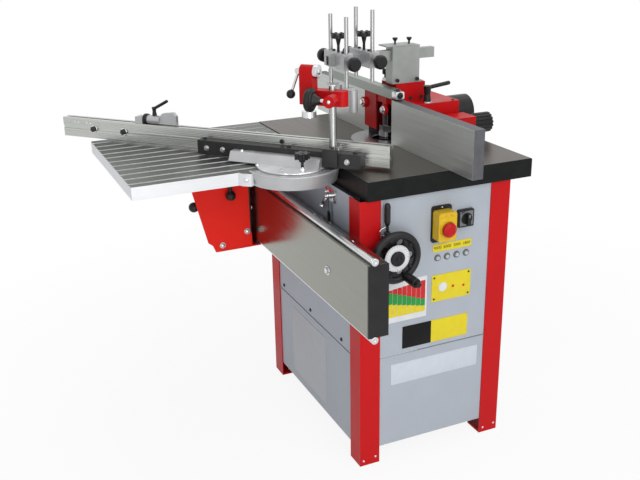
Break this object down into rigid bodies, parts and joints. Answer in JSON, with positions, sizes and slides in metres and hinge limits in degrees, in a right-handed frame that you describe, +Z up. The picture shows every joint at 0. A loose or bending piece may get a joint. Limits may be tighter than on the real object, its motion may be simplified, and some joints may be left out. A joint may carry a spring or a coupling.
{
  "type": "spindle moulder",
  "caption": "Floor-standing spindle moulder with a cast table, fence hood, hold-down pressers and a side sliding table with a swivelling mitre fence and clamp.",
  "frame": {"origin": "on the floor at the middle of the cabinet's four foot bolts", "axes": "+Z up along the spindle, +X towards the control panel along the feed, -Y towards the sliding table"},
  "size_m": [1.0847, 1.1649, 1.237],
  "materials": {
    "red_paint": "gloss powder coat",
    "grey_paint": "satin powder coat",
    "table_iron": "machined top, painted edges",
    "cast_iron": "as cast",
    "machined_steel": "turned",
    "bright_steel": "polished",
    "dark_paint": "semi-gloss paint",
    "cast_aluminium": "cast, light brushing",
    "rail_aluminium": "polished extrusion",
    "slide_aluminium": "ribbed extrusion",
    "fence_aluminium": "anodised extrusion",
    "plate_aluminium": "brushed",
    "black_paint": "satin",
    "black_plastic": "moulded",
    "yellow_plastic": "moulded",
    "red_plastic": "moulded",
    "lamp_lens": "clear cap in a bright ring",
    "belt_rubber": "moulded"
  },
  "bodies": {
    "machine": {"corner_posts": "red_paint", "front_panels": "grey_paint", "control_panels": "grey_paint", "rear_panels": "grey_paint", "main_table": "table_iron", "table_rings": "machined_steel", "lift_guides": "machined_steel", "switch_plates": "black_plastic", "switch_housing": "yellow_plastic", "speed_lamps": "lamp_lens", "slide_rail": "rail_aluminium", "guide_rods": "bright_steel", "rail_end_caps": "black_plastic", "rail_mounts": "bright_steel", "latch_bracket": "bright_steel", "hood": "red_paint", "dust_outlet": "black_plastic", "bridge_bar": "plate_aluminium", "presser_post": "cast_aluminium"},
    "spindle_unit": {"spindle_housing": "cast_iron", "motor": "dark_paint", "drive_belt": "belt_rubber"},
    "spindle": {"spindle_shaft": "machined_steel"},
    "motor_rotor": {"motor_pulley": "cast_aluminium"},
    "handwheel": {"handwheel": "black_plastic"},
    "handwheel_grip": {"handwheel_grip": "black_plastic"},
    "lift_screw": {"lift_screw": "machined_steel"},
    "lock_lever": {"lock_lever": "black_plastic"},
    "stop_button": {"stop_button": "red_plastic"},
    "selector_knob": {"selector_knob": "black_plastic"},
    "latch_lever": {"latch_lever": "bright_steel"},
    "slide": {"carriage": "red_paint", "glide_shoes": "black_plastic", "slide_table": "slide_aluminium", "mitre_base": "cast_aluminium"},
    "lock_knob_upper": {"lock_knob_upper": "black_plastic"},
    "lock_knob_side": {"lock_knob_side": "black_plastic"},
    "mitre": {"mitre_body": "cast_aluminium", "mitre_fence": "fence_aluminium", "backing_bar": "black_paint", "clamp_column": "bright_steel"},
    "mitre_knob": {"mitre_knob": "black_plastic"},
    "stop": {"stop_block": "fence_aluminium"},
    "stop_flap": {"stop_flap": "fence_aluminium"},
    "stop_lever": {"stop_lever": "black_plastic"},
    "clamp": {"clamp_arm": "red_paint"},
    "clamp_lever": {"clamp_lever": "bright_steel"},
    "clamp_pad": {"clamp_pad": "bright_steel"},
    "clamp_knob": {"clamp_knob": "black_plastic"},
    "infeed": {"infeed_bracket": "red_paint"},
    "infeed_fence": {"infeed_fence": "plate_aluminium"},
    "fence_knob": {"fence_knob": "black_plastic"},
    "outfeed_fence": {"outfeed_fence": "plate_aluminium"},
    "hood_lever": {"hood_lever": "black_plastic"},
    "presser_beam": {"presser_bar": "cast_aluminium", "presser_holders": "cast_aluminium", "presser_knobs": "black_plastic"},
    "pressers_front": {"presser_rods_a": "bright_steel", "presser_pads": "cast_aluminium"},
    "pressers_rear": {"presser_rods_b": "bright_steel"}
  },
  "joints": [
    {"name": "handwheel_turn", "type": "hinge", "parent": "machine", "child": "handwheel", "pos_m": [0.366, -0.146, 0.645], "axis": [1, 0, 0], "range_deg": [-2881, 541]},
    {"name": "grip_spin", "type": "hinge", "parent": "handwheel", "child": "handwheel_grip", "pos_m": [0.4, -0.12, 0.591], "axis": [1, 0, 0], "range_deg": [-180, 180]},
    {"name": "lift_screw_turn", "type": "hinge", "parent": "machine", "child": "lift_screw", "pos_m": [-0.04, -0.146, 0.7], "axis": [0, 0, 1], "range_deg": [-2881, 541]},
    {"name": "spindle_lift", "type": "slide", "parent": "machine", "child": "spindle_unit", "axis": [0, 0, 1], "range_m": [-0.08, 0.015]},
    {"name": "motor_spin", "type": "hinge", "parent": "spindle_unit", "child": "motor_rotor", "pos_m": [0.1, -0.025, 0.52], "axis": [0, 0, 1], "continuous": true},
    {"name": "spindle_spin", "type": "hinge", "parent": "spindle_unit", "child": "spindle", "pos_m": [-0.07, 0.06, 0.7], "axis": [0, 0, 1], "continuous": true},
    {"name": "lock_lever_turn", "type": "hinge", "parent": "machine", "child": "lock_lever", "pos_m": [0.338, -0.158, 0.69], "axis": [1, 0, 0], "range_deg": [-60, 45]},
    {"name": "stop_press", "type": "slide", "parent": "machine", "child": "stop_button", "axis": [-1, 0, 0], "range_m": [0, 0.006], "stiffness_N_per_m": 600},
    {"name": "selector_turn", "type": "hinge", "parent": "machine", "child": "selector_knob", "pos_m": [0.334, 0.088, 0.708], "axis": [1, 0, 0], "range_deg": [-90, 90]},
    {"name": "latch_swing", "type": "hinge", "parent": "machine", "child": "latch_lever", "pos_m": [0.152, -0.237, 0.77], "axis": [0, 1, 0], "range_deg": [-100, 20]},
    {"name": "table_slide", "type": "slide", "parent": "machine", "child": "slide", "axis": [1, 0, 0], "range_m": [-0.07, 0.7]},
    {"name": "upper_lock_turn", "type": "hinge", "parent": "slide", "child": "lock_knob_upper", "pos_m": [-0.2577, -0.39, 0.703], "axis": [1, 0, 0], "range_deg": [-45, 45]},
    {"name": "side_lock_turn", "type": "hinge", "parent": "slide", "child": "lock_knob_side", "pos_m": [-0.2786, -0.474, 0.645], "axis": [1, 0, 0], "range_deg": [-60, 60]},
    {"name": "mitre_swing", "type": "hinge", "parent": "slide", "child": "mitre", "pos_m": [0.093, -0.318, 0.853], "axis": [0, 0, 1], "range_deg": [-37.5, 48.5]},
    {"name": "mitre_lock_turn", "type": "hinge", "parent": "mitre", "child": "mitre_knob", "pos_m": [0.17337, -0.32433, 0.88], "axis": [0, 0, 1], "range_deg": [-180, 180]},
    {"name": "stop_slide", "type": "slide", "parent": "mitre", "child": "stop", "axis": [0.749, 0.6626, 0], "range_m": [-0.26, 0.2]},
    {"name": "stop_flip", "type": "hinge", "parent": "stop", "child": "stop_flap", "pos_m": [-0.25919, -0.56283, 0.9303], "axis": [0.749, 0.6626, 0], "range_deg": [-90, 0]},
    {"name": "stop_lever_turn", "type": "hinge", "parent": "stop", "child": "stop_lever", "pos_m": [-0.29589, -0.5953, 0.957], "axis": [0, 0, 1], "range_deg": [-60, 60]},
    {"name": "clamp_swivel", "type": "hinge", "parent": "mitre", "child": "clamp", "pos_m": [0.16496, -0.23031, 1.04], "axis": [0, 0, 1], "range_deg": [-110, 10]},
    {"name": "clamp_lever_turn", "type": "hinge", "parent": "clamp", "child": "clamp_lever", "pos_m": [0.11328, -0.27603, 1.106], "axis": [0.749, 0.6626, 0], "range_deg": [-90, 0]},
    {"name": "clamp_press", "type": "slide", "parent": "clamp", "child": "clamp_pad", "axis": [0, 0, -1], "range_m": [-0.0001, 0.0121]},
    {"name": "clamp_lock_turn", "type": "hinge", "parent": "clamp", "child": "clamp_knob", "pos_m": [0.18645, -0.27271, 1.04], "axis": [0.749, 0.6626, 0], "range_deg": [-180, 180]},
    {"name": "fence_knob_turn", "type": "hinge", "parent": "infeed", "child": "fence_knob", "pos_m": [0.069, 0.29, 0.8963], "axis": [0, 1, 0], "range_deg": [-1801, 1801]},
    {"name": "infeed_depth", "type": "slide", "parent": "machine", "child": "infeed", "axis": [0, 1, 0], "range_m": [-0.01, 0.01]},
    {"name": "infeed_slide", "type": "slide", "parent": "infeed", "child": "infeed_fence", "axis": [1, 0, 0], "range_m": [-0.025, 0.06]},
    {"name": "outfeed_slide", "type": "slide", "parent": "machine", "child": "outfeed_fence", "axis": [1, 0, 0], "range_m": [-0.06, 0.015]},
    {"name": "hood_lever_turn", "type": "hinge", "parent": "machine", "child": "hood_lever", "pos_m": [0.006, 0.153, 0.98], "axis": [0, 0, 1], "range_deg": [-80, 30]},
    {"name": "presser_slide", "type": "slide", "parent": "machine", "child": "presser_beam", "axis": [0, 1, 0], "range_m": [-0.04, 0.05]},
    {"name": "front_presser_lift", "type": "slide", "parent": "presser_beam", "child": "pressers_front", "axis": [0, 0, 1], "range_m": [-0.1, 0.05]},
    {"name": "rear_presser_lift", "type": "slide", "parent": "presser_beam", "child": "pressers_rear", "axis": [0, 0, 1], "range_m": [-0.1, 0.03]}
  ],
  "couplings": [
    {"joint": "handwheel_turn", "follows": "spindle_lift", "rad_per_m": 628.32},
    {"joint": "lift_screw_turn", "follows": "spindle_lift", "rad_per_m": 628.32},
    {"joint": "spindle_spin", "follows": "motor_spin", "ratio": 2.122},
    {"joint": "clamp_press", "follows": "clamp_lever_turn", "m_per_rad": -0.0076394},
    {"joint": "fence_knob_turn", "follows": "infeed_depth", "rad_per_m": 3141.6}
  ]
}
